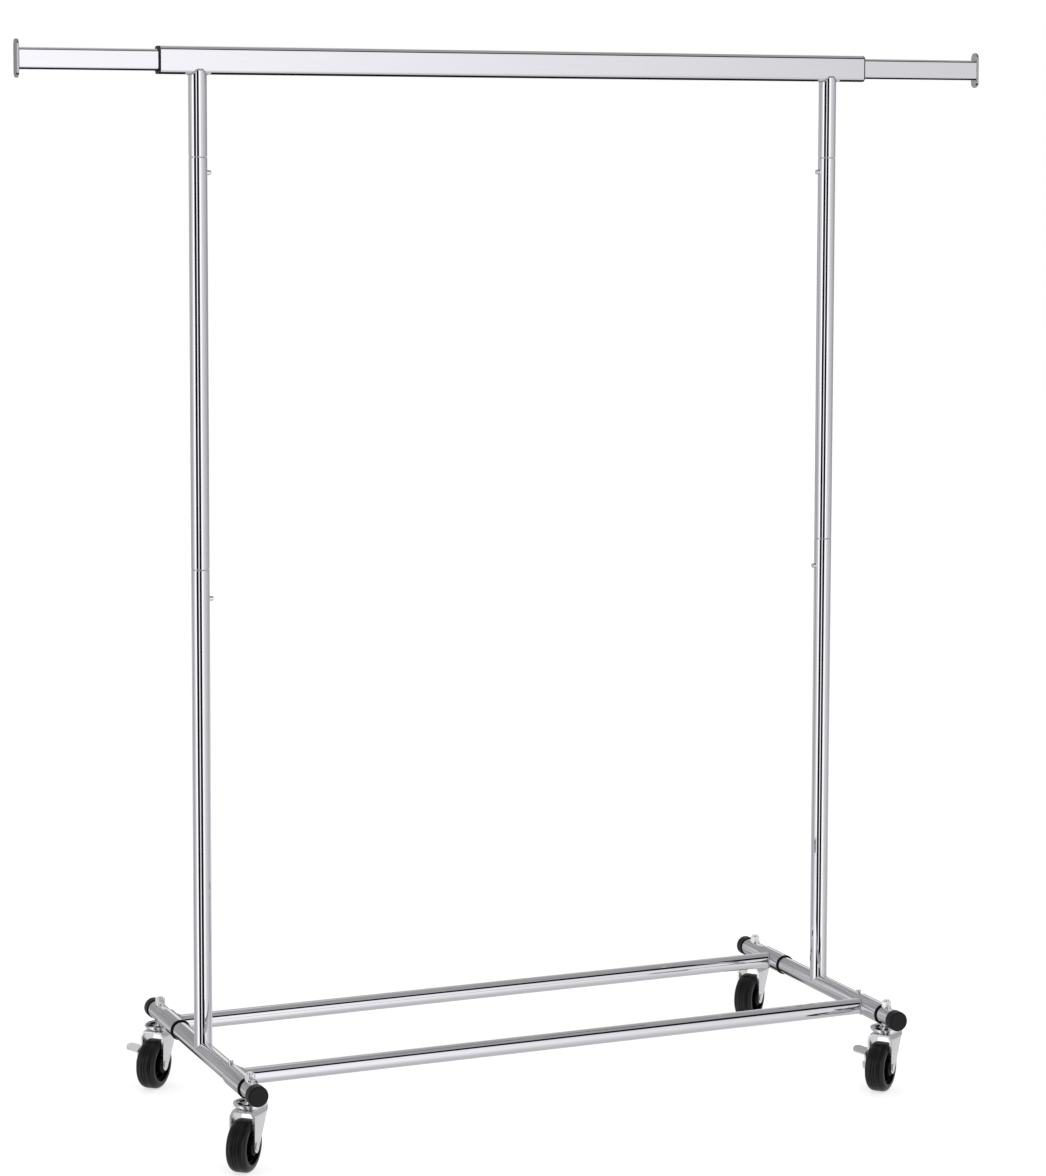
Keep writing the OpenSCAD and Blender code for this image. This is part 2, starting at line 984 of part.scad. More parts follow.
front_rail();
back_rail();
rail_collars();
collar_rings();
left_leg();
right_leg();
leg_caps();
left_lower_post();
right_lower_post();
left_middle_post();
right_middle_post();
left_top_stub();
right_top_stub();
lower_spigots();
upper_spigots();
button_clips();
hanging_sleeve();
sleeve_guides();
left_bar();
right_bar();
left_slider();
right_slider();
left_end_plate();
right_end_plate();
weld_beads();
left_lower_button();
right_lower_button();
left_upper_button();
right_upper_button();
left_leg_button();
right_leg_button();
caster_heads();
caster_stems();
stem_nuts();
front_left_fork();
front_right_fork();
back_left_fork();
back_right_fork();
front_left_axle();
front_right_axle();
back_left_axle();
back_right_axle();
front_left_tyre();
front_right_tyre();
back_left_tyre();
back_right_tyre();
front_left_hub();
front_right_hub();
back_left_hub();
back_right_hub();
front_right_lever();
back_left_lever();
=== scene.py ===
import json
import math

import bmesh
import bpy
from mathutils import Matrix, Vector


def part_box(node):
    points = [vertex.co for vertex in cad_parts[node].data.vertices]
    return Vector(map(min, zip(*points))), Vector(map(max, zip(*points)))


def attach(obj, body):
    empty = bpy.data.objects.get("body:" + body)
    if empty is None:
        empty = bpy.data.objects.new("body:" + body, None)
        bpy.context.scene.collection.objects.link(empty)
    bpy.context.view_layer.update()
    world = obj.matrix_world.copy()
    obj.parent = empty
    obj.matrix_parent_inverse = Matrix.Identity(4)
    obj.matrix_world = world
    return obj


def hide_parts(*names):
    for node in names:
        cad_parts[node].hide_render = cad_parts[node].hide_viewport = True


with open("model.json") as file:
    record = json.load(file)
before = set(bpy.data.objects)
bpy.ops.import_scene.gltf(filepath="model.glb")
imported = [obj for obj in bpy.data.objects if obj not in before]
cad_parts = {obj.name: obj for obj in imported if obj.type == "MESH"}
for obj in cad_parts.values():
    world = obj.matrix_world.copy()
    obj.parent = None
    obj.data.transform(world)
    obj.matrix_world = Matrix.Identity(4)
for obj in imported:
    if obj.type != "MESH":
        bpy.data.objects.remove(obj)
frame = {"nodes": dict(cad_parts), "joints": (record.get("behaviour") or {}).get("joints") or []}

bl_info = {
    "name": "Rolling clothes rack",
    "version": (1, 0, 0),
    "blender": (4, 5, 0),
    "location": "3D View > Sidebar > Rack",
    "description": "Builds the finished surfaces of a rolling clothes rack over its CAD parts",
    "category": "Object",
}

MM = 0.001
SIDES = {"left": -1, "right": 1}
CORNERS = ("front_left", "front_right", "back_left", "back_right")
BRAKED = ("front_right", "back_left")

# Mesh work: distances in metres, angles in degrees
MERGE = 1e-6
HEIGHT_SLACK = 1e-5
RADIUS_SLACK = 5e-5
FLAT_ANGLE = 0.6
SHARP_ANGLE = 32.0
SMOOTH_ANGLE = 40.0
RIM_STEPS = 5
GROWN_STEPS = 2

# Edge rounding that belongs to one kind of piece
RING_EDGE = 0.9 * MM
PLATE_EDGE = 0.9 * MM
NUT_EDGE = 0.7 * MM
AXLE_EDGE = 0.5 * MM
CAP_EDGE = 0.4 * MM
GUIDE_EDGE = 0.4 * MM
STEM_EDGE = 0.4 * MM
HEAD_EDGE = 0.35 * MM
BAR_EDGE = 0.3 * MM
PIN_EDGE = 0.2 * MM
PIN_STEPS = 2

# Welds: the sleeve's corner radius, how far the beads stand off the tube, and the ripples' least and
# greatest relative size and their roundness
SLEEVE_CORNER = 7 * MM
WELD_STANDOFF = 0.2 * MM
RIPPLE_SIZES = (0.85, 1.15)
RIPPLE_ROUNDNESS = 3

# Slots in the swivel heads, drawn as near-black marks of painted shade for their recesses, and ribs of the
# wheel centres
SLOT_RISE = 4.3 * MM
SLOT_RADIUS = 14.2 * MM
SLOT_SIZE = (4.5 * MM, 7.5 * MM, 0.8 * MM)
SLOT_EDGE = 0.3 * MM
RIB_COUNT = 6
RIB_RADIUS = 16.8 * MM
RIB_SIZE = (11 * MM, 2.4 * MM, 17 * MM)
RIB_EDGE = 0.5 * MM

# Tyres; a groove's outline is (millimetres along the tread, share of the depth)
TYRE_SEGMENTS = 128
TYRE_SHOULDER = 8 * MM
SHOULDER_STEPS = 8
SIDE_STEP = 0.2 * MM  # how far the flat side ends below the shoulder
TYRE_CLEARANCE = 0.1 * MM
GROOVE_DEPTH = 0.7 * MM
GROOVE_OUTLINE = ((-0.9, 0), (-0.6, 0.15), (-0.4, 1), (0.4, 1), (0.6, 0.15), (0.9, 0))

# Materials: noise scales, the stops between two tones, and the relief in metres
STREAK_SCALE = 900
STREAK_STOPS = (0.32, 0.68)
DRIFT_SCALE = 9
METAL_BUMP = 0.25
METAL_RELIEF = 0.0004
PATCH_SCALE = 35
PATCH_STOPS = (0.35, 0.75)
PATCH_GAIN = 1.5
PATCH_SPREAD = 0.12
PLASTIC_RELIEF = 0.0003
EVEN = (1, 1, 1)


# ---------------------------------------------------------------- settings


class RackEdges(bpy.types.PropertyGroup):
    """Edge rounding that several pieces share."""

    tube_rim: bpy.props.FloatProperty(
        name="Tube rim",
        description="Rounding of the tubes' cut ends",
        default=0.45 * MM,
        min=0.0,
        unit="LENGTH",
    )
    joint_rim: bpy.props.FloatProperty(
        name="Joint rim",
        description="Rounding of the posts' ends at their joints",
        default=1.3 * MM,
        min=0.0,
        unit="LENGTH",
    )
    sheet_edge: bpy.props.FloatProperty(
        name="Sheet edge",
        description="Rounding of stamped steel edges",
        default=0.5 * MM,
        min=0.0,
        unit="LENGTH",
    )
    plastic_edge: bpy.props.FloatProperty(
        name="Plastic edge",
        description="Rounding of moulded edges",
        default=0.6 * MM,
        min=0.0,
        unit="LENGTH",
    )
    steps: bpy.props.IntProperty(
        name="Steps",
        description="Segments across each rounded edge",
        default=3,
        min=1,
        max=6,
    )


class RackDetail(bpy.types.PropertyGroup):
    """Sizes and numbers of the small features that the CAD part leaves out."""

    weld_bump: bpy.props.FloatProperty(
        name="Weld ripple",
        description="Radius of one ripple in a weld bead",
        default=1.3 * MM,
        min=0.0,
        unit="LENGTH",
    )
    weld_count: bpy.props.IntProperty(
        name="Weld ripples",
        description="Ripples in one round of weld",
        default=44,
        min=8,
        max=120,
    )
    tread_grooves: bpy.props.IntProperty(
        name="Tread grooves",
        description="Grooves round the tyre's tread",
        default=2,
        min=0,
        max=6,
    )
    # Each slot is drawn as a near-black mark: painted shade in its recess.
    head_slots: bpy.props.IntProperty(
        name="Head slots",
        description="Pressed slots in the top of each swivel head",
        default=6,
        min=0,
        max=16,
    )
    seed: bpy.props.IntProperty(
        name="Seed",
        description="Seed of the weld ripples' sizes",
        default=7,
        min=0,
    )


class RackFinish(bpy.types.PropertyGroup):
    """Colour and roughness of the materials."""

    chrome_colour: bpy.props.FloatVectorProperty(
        name="Chrome colour",
        description="Colour of the posts, rails and sleeve",
        size=3,
        default=(0.86, 0.855, 0.885),
        min=0.0,
        max=1.0,
        subtype="COLOR",
    )
    leg_colour: bpy.props.FloatVectorProperty(
        name="Leg colour",
        description="Colour of the legs and collars",
        size=3,
        default=(0.90, 0.895, 0.915),
        min=0.0,
        max=1.0,
        subtype="COLOR",
    )
    zinc_colour: bpy.props.FloatVectorProperty(
        name="Zinc colour",
        description="Colour of the zinc-plated steel",
        size=3,
        default=(0.93, 0.93, 0.94),
        min=0.0,
        max=1.0,
        subtype="COLOR",
    )
    plastic_colour: bpy.props.FloatVectorProperty(
        name="Plastic colour",
        description="Colour of the black plastic",
        size=3,
        default=(0.0035, 0.0035, 0.004),
        min=0.0,
        max=1.0,
        subtype="COLOR",
    )
    rubber_colour: bpy.props.FloatVectorProperty(
        name="Rubber colour",
        description="Colour of the tyres",
        size=3,
        default=(0.0025, 0.0025, 0.003),
        min=0.0,
        max=1.0,
        subtype="COLOR",
    )
    chrome_roughness: bpy.props.FloatProperty(
        name="Chrome roughness",
        description="Roughness of the posts, rails and sleeve",
        default=0.03,
        min=0.0,
        max=1.0,
        subtype="FACTOR",
    )
    leg_roughness: bpy.props.FloatProperty(
        name="Leg roughness",
        description="Roughness of the legs and collars",
        default=0.14,
        min=0.0,
        max=1.0,
        subtype="FACTOR",
    )
    zinc_roughness: bpy.props.FloatProperty(
        name="Zinc roughness",
        description="Roughness of the zinc-plated steel",
        default=0.24,
        min=0.0,
        max=1.0,
        subtype="FACTOR",
    )
    plastic_roughness: bpy.props.FloatProperty(
        name="Plastic roughness",
        description="Roughness of the black plastic",
        default=0.42,
        min=0.0,
        max=1.0,
        subtype="FACTOR",
    )
    rubber_roughness: bpy.props.FloatProperty(
        name="Rubber roughness",
        description="Roughness of the tyres",
        default=0.3,
        min=0.0,
        max=1.0,
        subtype="FACTOR",
    )


class RackStudio(bpy.types.PropertyGroup):
    """The studio round the rack."""

    dome_radius: bpy.props.FloatProperty(
        name="Dome radius",
        description="Radius of the light dome",
        default=60.0,
        min=10.0,
        unit="LENGTH",
    )
    dome_light: bpy.props.FloatProperty(
        name="Dome light",
        description="Brightness of the light dome",
        default=1.12,
        min=0.0,
    )
    key_power: bpy.props.FloatProperty(
        name="Key light",
        description="Power of the front light",
        default=18.0,
        min=0.0,
        unit="POWER",
    )
    floor_lift: bpy.props.FloatProperty(
        name="Floor lift",
        description="Brightness added to the floor for the camera alone",
        default=0.67,
        min=0.0,
    )


# ---------------------------------------------------------------- node helpers


def link(tree, a, b):
    """Links an output socket to an input socket."""
    tree.links.new(a, b)


def fill(tree, socket, value):
    """Feeds an input socket from another node's socket, or sets its own value."""
    if isinstance(value, bpy.types.NodeSocket):
        link(tree, value, socket)
    else:
        socket.default_value = value


def ramp(tree, factor, stops):
    """A colour ramp with grey or colour stops, given as (position, value) pairs in any order."""
    n = tree.nodes.new("ShaderNodeValToRGB")
    while len(n.color_ramp.elements) < len(stops):
        n.color_ramp.elements.new(0.5)
    for e, (pos, value) in zip(n.color_ramp.elements, sorted(stops, key=lambda s: s[0])):
        e.position = pos
        e.color = (value, value, value, 1) if isinstance(value, (int, float)) else (*value, 1)
    link(tree, factor, n.inputs["Fac"])
    return n.outputs["Color"]


def math_node(tree, operation, *values):
    """The result of a math node, whose values are numbers or sockets."""
    n = tree.nodes.new("ShaderNodeMath")
    n.operation = operation
    for socket, value in zip(n.inputs, values):
        fill(tree, socket, value)
    return n.outputs[0]


def blend(tree, factor, first, second, mode="MIX"):
    """The result of a colour mix, whose factor and colours are values or sockets."""
    n = tree.nodes.new("ShaderNodeMix")
    n.data_type = "RGBA"
    n.blend_type = mode
    colours = [s for s in n.inputs if s.type == "RGBA"]
    fill(tree, n.inputs["Factor"], factor)
    fill(tree, colours[0], first)
    fill(tree, colours[1], second)
    return next(s for s in n.outputs if s.type == "RGBA")


def noise(tree, coords, scale, detail=3.0, stretch=EVEN):
    """A noise pattern; a small stretch value draws it out along that axis."""
    mapping = tree.nodes.new("ShaderNodeMapping")
    mapping.inputs["Scale"].default_value = stretch
    link(tree, coords, mapping.inputs["Vector"])
    n = tree.nodes.new("ShaderNodeTexNoise")
    n.inputs["Scale"].default_value = scale
    n.inputs["Detail"].default_value = detail
    link(tree, mapping.outputs[0], n.inputs["Vector"])
    return n.outputs["Fac"]


def blank(name, kind):
    """A new material with its tree, one shader of the kind and Object coordinates."""
    m = bpy.data.materials.new(name)
    m.use_nodes = True
    tree = m.node_tree
    tree.nodes.clear()
    out = tree.nodes.new("ShaderNodeOutputMaterial")
    shader = tree.nodes.new(kind)
    coords = tree.nodes.new("ShaderNodeTexCoord")
    link(tree, shader.outputs[0], out.inputs["Surface"])
    return m, tree, shader, coords.outputs["Object"]


def surface_input(tree):
    """The surface socket of the tree's material output."""
    return next(n for n in tree.nodes if n.type == "OUTPUT_MATERIAL").inputs["Surface"]


def bump(tree, shader, height, strength, distance):
    """Raises the shader's surface by a height pattern."""
    n = tree.nodes.new("ShaderNodeBump")
    n.inputs["Strength"].default_value = strength
    n.inputs["Distance"].default_value = distance
    link(tree, height, n.inputs["Height"])
    link(tree, n.outputs[0], shader.inputs["Normal"])


def metal(name, tone, roughness, spread, stretch, grain, wave, streaks=0.035):
    """
    Plated steel. Its roughness drifts by the spread, and streaks darken the tone along the stretch.
    Grain and wave are the strengths of its fine and of its broad relief.
    """
    m, tree, shader, coords = blank(name, "ShaderNodeBsdfPrincipled")
    shader.inputs["Metallic"].default_value = 1.0
    streak = noise(tree, coords, STREAK_SCALE, 4, stretch)
    drift = noise(tree, coords, DRIFT_SCALE)
    low = tuple(c * (1 - streaks) for c in tone)
    link(tree, ramp(tree, streak, list(zip(STREAK_STOPS, (low, tone)))), shader.inputs["Base Color"])
    rough = math_node(tree, "MULTIPLY_ADD", drift, spread, roughness - spread * 0.5)
    link(tree, rough, shader.inputs["Roughness"])
    fine = math_node(tree, "MULTIPLY_ADD", streak, grain, math_node(tree, "MULTIPLY", drift, wave))
    bump(tree, shader, fine, METAL_BUMP, METAL_RELIEF)
    return m


def plastic(name, tone, roughness, grain_scale, grain, specular):
    """Moulded black plastic or rubber: a slight drift of tone and a fine grain."""
    m, tree, shader, coords = blank(name, "ShaderNodeBsdfPrincipled")
    patch = noise(tree, coords, PATCH_SCALE, 4)
    light = tuple(c * PATCH_GAIN for c in tone)
    link(tree, ramp(tree, patch, list(zip(PATCH_STOPS, (tone, light)))), shader.inputs["Base Color"])
    rough = math_node(tree, "MULTIPLY_ADD", patch, PATCH_SPREAD, roughness - PATCH_SPREAD / 2)
    link(tree, rough, shader.inputs["Roughness"])
    shader.inputs["Specular IOR Level"].default_value = specular
    bump(tree, shader, noise(tree, coords, grain_scale, 2), grain, PLASTIC_RELIEF)
    return m


def materials(context):
    """All the materials, made once and then found by name."""
    f = context.scene.rack_finish
    chrome = (metal, f.chrome_colour, f.chrome_roughness, 0.03)
    wanted = {
        "chrome_upright": (*chrome, (1, 1, 0.02), 0.02, 0.1),
        "chrome_rail": (*chrome, (0.02, 1, 1), 0.02, 0.2),
        "chrome_leg": (metal, f.leg_colour, f.leg_roughness, 0.1, (0.35, 0.008, 0.35), 0.7, 0.5, 0.34),
        "zinc": (metal, f.zinc_colour, f.zinc_roughness, 0.12, EVEN, 0.2, 1.0),
        "plate_steel": (metal, (0.5, 0.495, 0.515), 0.2, 0.08, EVEN, 0.1, 0.4),
        "spring_steel": (metal, (0.6, 0.6, 0.62), 0.35, 0.1, EVEN, 0.1, 0.5),
        "weld_steel": (metal, (0.62, 0.61, 0.62), 0.32, 0.2, EVEN, 0.4, 2.0),
        "black_plastic": (plastic, f.plastic_colour, f.plastic_roughness, 1400, 0.2, 0.32),
        "hub_plastic": (plastic, (0.003, 0.003, 0.0035), 0.5, 1100, 0.1, 0.14),
        "tyre_rubber": (plastic, f.rubber_colour, f.rubber_roughness, 1800, 0.2, 0.38),
    }
    return {
        n: bpy.data.materials.get(f"finish_{n}") or make(f"finish_{n}", *values)
        for n, (make, *values) in wanted.items()
    }


# ---------------------------------------------------------------- mesh helpers


def new_object(name, mesh, body):
    """A finished object at the origin that rides on a CAD body."""
    o = bpy.data.objects.new(name, mesh)
    bpy.context.scene.collection.objects.link(o)
    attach(o, body)
    return o


def set_material(o, material):
    """Gives the object's mesh this one material."""
    o.data.materials.clear()
    o.data.materials.append(material)


def merged(nodes):
    """One mesh from the CAD nodes' own meshes, which stay as they are."""
    bm = bmesh.new()
    for n in nodes:
        bm.from_mesh(frame["nodes"][n].data)
    bmesh.ops.remove_doubles(bm, verts=bm.verts, dist=MERGE)
    return bm


def bevel(bm, edges, offset, steps):
    """Rounds the edges in that many steps."""
    bmesh.ops.bevel(
        bm,
        geom=edges,
        offset=offset,
        offset_type="OFFSET",
        segments=steps,
        profile=0.5,
        affect="EDGES",
        clamp_overlap=True,
        harden_normals=False,
    )


def soften(bm, edge, steps):
    """Joins flat faces, then rounds every sharp edge unless the rounding is nought."""
    bmesh.ops.dissolve_limit(
        bm,
        angle_limit=math.radians(FLAT_ANGLE),
        verts=bm.verts,
        edges=bm.edges,
        use_dissolve_boundaries=False,
    )
    bm.normal_update()
    limit = math.radians(SHARP_ANGLE)
    edges = [e for e in bm.edges if len(e.link_faces) == 2 and e.calc_face_angle(0.0) > limit]
    if edge > 0 and edges:
        bevel(bm, edges, edge, steps)


def round_rims(bm, axis, radius, heights, offset):
    """Rounds only the outer rims of an upright tube at the given heights."""

    def on_rim(v, height):
        reach = math.hypot(v.co.x - axis.x, v.co.y - axis.y)
        return abs(v.co.z - height) < HEIGHT_SLACK and abs(reach - radius) < RADIUS_SLACK

    rim_edges = [e for e in bm.edges if any(all(on_rim(v, h) for v in e.verts) for h in heights)]
    bevel(bm, rim_edges, offset, RIM_STEPS)


def to_mesh(bm, name):
    """A smooth-shaded mesh with sharp edges marked; it uses up the bmesh."""
    bmesh.ops.triangulate(bm, faces=[f for f in bm.faces if len(f.verts) > 4])
    for f in bm.faces:
        f.smooth = True
    mesh = bpy.data.meshes.new(name)
    bm.to_mesh(mesh)
    bm.free()
    mesh.set_sharp_from_angle(angle=math.radians(SMOOTH_ANGLE))
    return mesh


def weight_normals(o):
    """Bakes area-weighted normals, so that flat faces stay flat between rounded edges."""
    mod = o.modifiers.new("weighted", "WEIGHTED_NORMAL")
    mod.keep_sharp = True
    bake(o)


def bake(o):
    """Applies the object's modifiers by way of new_from_object and removes them."""
    graph = bpy.context.evaluated_depsgraph_get()
    mesh = bpy.data.meshes.new_from_object(
        o.evaluated_get(graph), preserve_all_data_layers=True, depsgraph=graph
    )
    o.modifiers.clear()
    old = o.data
    o.data = mesh
    mesh.name = o.name
    bpy.data.meshes.remove(old)


def softened(name, nodes, body, material, edge, steps):
    """A finished copy of CAD nodes with rounded edges, in their place."""
    bm = merged(nodes)
    soften(bm, edge, steps)
    o = new_object(name, to_mesh(bm, name), body)
    set_material(o, material)
    weight_normals(o)
    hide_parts(*nodes)
    return o


def lathe(name, profile, place, body, material, segments):
    """Turns a closed outline of (radius, height) points about local Z, then moves it to the place."""
    bm = bmesh.new()
    turns = [2 * math.pi * k / segments for k in range(segments)]
    rings = [[bm.verts.new((r * math.cos(t), r * math.sin(t), h)) for t in turns] for r, h in profile]
    for a, b in zip(rings, rings[1:] + rings[:1]):
        for k in range(segments):
            n = (k + 1) % segments
            bm.faces.new((a[k], a[n], b[n], b[k]))
    bmesh.ops.recalc_face_normals(bm, faces=bm.faces)
    bm.transform(place)
    o = new_object(name, to_mesh(bm, name), body)
    set_material(o, material)
    weight_normals(o)
    return o


def axes(point, direction):
    """Matrix that puts local Z along the direction at the point."""
    return Matrix.Translation(point) @ Vector(direction).to_track_quat("Z", "Y").to_matrix().to_4x4()


def joint(name):
    """The frame's joint of that name."""
    return next(j for j in frame["joints"] if j["name"] == name)


def centre(n):
    """The middle of a CAD node's box."""
    lo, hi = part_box(n)
    return (lo + hi) / 2


def clusters(n):
    """The separate solids of a CAD node as (lowest, highest) corners, in a fixed order."""
    bm = bmesh.new()
    bm.from_mesh(frame["nodes"][n].data)
    bmesh.ops.remove_doubles(bm, verts=bm.verts, dist=MERGE)
    left = set(bm.verts)
    boxes = []
    while left:
        stack = [left.pop()]
        lo, hi = stack[0].co.copy(), stack[0].co.copy()
        while stack:
            v = stack.pop()
            lo = Vector(map(min, lo, v.co))
            hi = Vector(map(max, hi, v.co))
            for e in v.link_edges:
                w = e.other_vert(v)
                if w in left:
                    left.discard(w)
                    stack.append(w)
        boxes.append((lo, hi))
    bm.free()
    return sorted(boxes, key=lambda b: (round(b[0].x, 3), round(b[0].y, 3), round(b[0].z, 3)))


# ---------------------------------------------------------------- geometry nodes


def group(name, inputs):
    """A geometry node group with named inputs: its tree, its input node and its socket identifiers."""
    tree = bpy.data.node_groups.new(name, "GeometryNodeTree")
    tree.interface.new_socket("Geometry", in_out="OUTPUT", socket_type="NodeSocketGeometry")
    ids = {}
    for label, kind, default in inputs:
        s = tree.interface.new_socket(label, in_out="INPUT", socket_type=kind)
        if default is not None:
            s.default_value = default
        ids[label] = s.identifier
    return tree, tree.nodes.new("NodeGroupInput"), ids


def close_group(tree, geometry, given):
    """Ends a group in Realize Instances and Set Material."""
    realize = tree.nodes.new("GeometryNodeRealizeInstances")
    smooth = tree.nodes.new("GeometryNodeSetShadeSmooth")
    paint = tree.nodes.new("GeometryNodeSetMaterial")
    out = tree.nodes.new("NodeGroupOutput")
    link(tree, geometry, realize.inputs["Geometry"])
    link(tree, realize.outputs[0], smooth.inputs["Geometry"])
    link(tree, smooth.outputs[0], paint.inputs["Geometry"])
    link(tree, given.outputs["Material"], paint.inputs["Material"])
    link(tree, paint.outputs[0], out.inputs[0])


def weld_group():
    """Overlapping weld ripples round a tube where it meets a round tube or a flat side with round corners."""
    tree, given, ids = group(
        "Weld round",
        [
            ("Radius", "NodeSocketFloat", 0.0127),
            ("Ripples", "NodeSocketInt", 44),
            ("Ripple Radius", "NodeSocketFloat", 0.0013),
            ("Flat", "NodeSocketFloat", 0.0),
            ("Corner", "NodeSocketFloat", 0.0146),
            ("Seed", "NodeSocketInt", 7),
            ("Material", "NodeSocketMaterial", None),
        ],
    )
    circle = tree.nodes.new("GeometryNodeMeshCircle")
    link(tree, given.outputs["Ripples"], circle.inputs["Vertices"])
    link(tree, given.outputs["Radius"], circle.inputs["Radius"])
    place = tree.nodes.new("GeometryNodeInputPosition")
    split = tree.nodes.new("ShaderNodeSeparateXYZ")
    link(tree, place.outputs[0], split.inputs[0])
    across = math_node(tree, "ABSOLUTE", split.outputs["Y"])
    past = math_node(tree, "SUBTRACT", across, given.outputs["Flat"])
    past = math_node(tree, "MAXIMUM", past, 0.0)
    past = math_node(tree, "MINIMUM", past, math_node(tree, "MULTIPLY", given.outputs["Corner"], 0.995))
    square = math_node(tree, "MULTIPLY", past, past)
    whole = math_node(tree, "MULTIPLY", given.outputs["Corner"], given.outputs["Corner"])
    root = math_node(tree, "SQRT", math_node(tree, "SUBTRACT", whole, square))
    drop = math_node(tree, "SUBTRACT", root, given.outputs["Corner"])
    join = tree.nodes.new("ShaderNodeCombineXYZ")
    link(tree, drop, join.inputs["Z"])
    move = tree.nodes.new("GeometryNodeSetPosition")
    link(tree, circle.outputs[0], move.inputs["Geometry"])
    link(tree, join.outputs[0], move.inputs["Offset"])
    ball = tree.nodes.new("GeometryNodeMeshIcoSphere")
    ball.inputs["Subdivisions"].default_value = RIPPLE_ROUNDNESS
    link(tree, given.outputs["Ripple Radius"], ball.inputs["Radius"])
    size = tree.nodes.new("FunctionNodeRandomValue")
    size.data_type = "FLOAT"
    floats = [s for s in size.inputs if s.type == "VALUE"]
    floats[0].default_value, floats[1].default_value = RIPPLE_SIZES
    link(tree, given.outputs["Seed"], size.inputs["Seed"])
    put = tree.nodes.new("GeometryNodeInstanceOnPoints")
    link(tree, move.outputs[0], put.inputs["Points"])
    link(tree, ball.outputs["Mesh"], put.inputs["Instance"])
    link(tree, next(s for s in size.outputs if s.type == "VALUE"), put.inputs["Scale"])
    close_group(tree, put.outputs[0], given)
    return tree, ids


def ring_group():
    """Equal blocks spaced evenly round a circle, each turned to face out."""
    tree, given, ids = group(
        "Ring of blocks",
        [
            ("Count", "NodeSocketInt", 6),
            ("Radius", "NodeSocketFloat", 0.017),
            ("Size", "NodeSocketVector", (0.004, 0.008, 0.001)),
            ("Material", "NodeSocketMaterial", None),
        ],
    )
    circle = tree.nodes.new("GeometryNodeMeshCircle")
    link(tree, given.outputs["Count"], circle.inputs["Vertices"])
    link(tree, given.outputs["Radius"], circle.inputs["Radius"])
    cube = tree.nodes.new("GeometryNodeMeshCube")
    link(tree, given.outputs["Size"], cube.inputs["Size"])
    place = tree.nodes.new("GeometryNodeInputPosition")
    turn = tree.nodes.new("FunctionNodeAlignRotationToVector")
    turn.axis = "X"
    link(tree, place.outputs[0], turn.inputs["Vector"])
    put = tree.nodes.new("GeometryNodeInstanceOnPoints")
    link(tree, circle.outputs[0], put.inputs["Points"])
    link(tree, cube.outputs["Mesh"], put.inputs["Instance"])
    link(tree, turn.outputs[0], put.inputs["Rotation"])
    close_group(tree, put.outputs[0], given)
    return tree, ids


def grown(name, tree_ids, values, places, body, edge=0.0):
    """Runs a geometry node group, keeps its result as a plain mesh and sets copies of it at the places."""
    tree, ids = tree_ids
    o = bpy.data.objects.new(name, bpy.data.meshes.new(name))
    bpy.context.scene.collection.objects.link(o)
    mod = o.modifiers.new("rule", "NODES")
    mod.node_group = tree
    for key, value in values.items():
        mod[ids[key]] = value
    bake(o)
    bm = bmesh.new()
    for place in places:
        part = bmesh.new()
        part.from_mesh(o.data)
        if edge > 0:
            soften(part, edge, GROWN_STEPS)
        part.transform(place)
        copy = bpy.data.meshes.new("part")
        part.to_mesh(copy)
        part.free()
        bm.from_mesh(copy)
        bpy.data.meshes.remove(copy)
    old = o.data
    o.data = to_mesh(bm, name)
    o.data.name = name
    bpy.data.meshes.remove(old)
    set_material(o, values["Material"])
    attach(o, body)
    return o


# ---------------------------------------------------------------- operators


class RACK_OT_posts(bpy.types.Operator):
    """Finish the posts, with the joints between their lengths, and paint the spigots inside"""

    bl_idname = "rack.posts"
    bl_label = "Posts"

    def execute(self, context):
        m = materials(context)
        e = context.scene.rack_edges
        for side in SIDES:
            low, mid, top = (f"{side}_{part}" for part in ("lower_post", "middle_post", "top_stub"))
            lo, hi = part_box(mid)
            joints = {low: (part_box(low)[1].z,), mid: (lo.z, hi.z), top: (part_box(top)[0].z,)}
            for n, heights in joints.items():
                bm = merged([n])
                soften(bm, 0.0, e.steps)
                round_rims(bm, (lo + hi) / 2, (hi.x - lo.x) / 2, heights, e.joint_rim)
                o = new_object(n + "_tube", to_mesh(bm, n + "_tube"), "frame")
                set_material(o, m["chrome_upright"])
                weight_normals(o)
                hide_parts(n)
        for n in ("lower_spigots", "upper_spigots"):
            set_material(frame["nodes"][n], m["zinc"])
        return {"FINISHED"}


class RACK_OT_base(bpy.types.Operator):
    """Finish the rails, their collars and rings, the legs and the caps"""

    bl_idname = "rack.base"
    bl_label = "Base"

    def execute(self, context):
        m = materials(context)
        e = context.scene.rack_edges
        for n in ("front_rail", "back_rail"):
            softened(n + "_tube", [n], "frame", m["chrome_rail"], 0.0, e.steps)
        softened("collar_tubes", ["rail_collars"], "frame", m["chrome_leg"], e.tube_rim, e.steps)
        softened("ring_seals", ["collar_rings"], "frame", m["black_plastic"], RING_EDGE, e.steps)
        for side in SIDES:
            softened(f"{side}_leg_tube", [f"{side}_leg"], "frame", m["chrome_leg"], e.tube_rim, e.steps)
        softened("leg_end_caps", ["leg_caps"], "frame", m["black_plastic"], CAP_EDGE, e.steps)
        return {"FINISHED"}


class RACK_OT_hanging_rail(bpy.types.Operator):
    """Finish the hanging sleeve and the guides in its mouths"""

    bl_idname = "rack.hanging_rail"
    bl_label = "Hanging rail"

    def execute(self, context):
        m = materials(context)
        e = context.scene.rack_edges
        softened("sleeve_tube", ["hanging_sleeve"], "frame", m["chrome_rail"], e.tube_rim, e.steps)
        softened("mouth_guides", ["sleeve_guides"], "frame", m["black_plastic"], GUIDE_EDGE, e.steps)
        return {"FINISHED"}


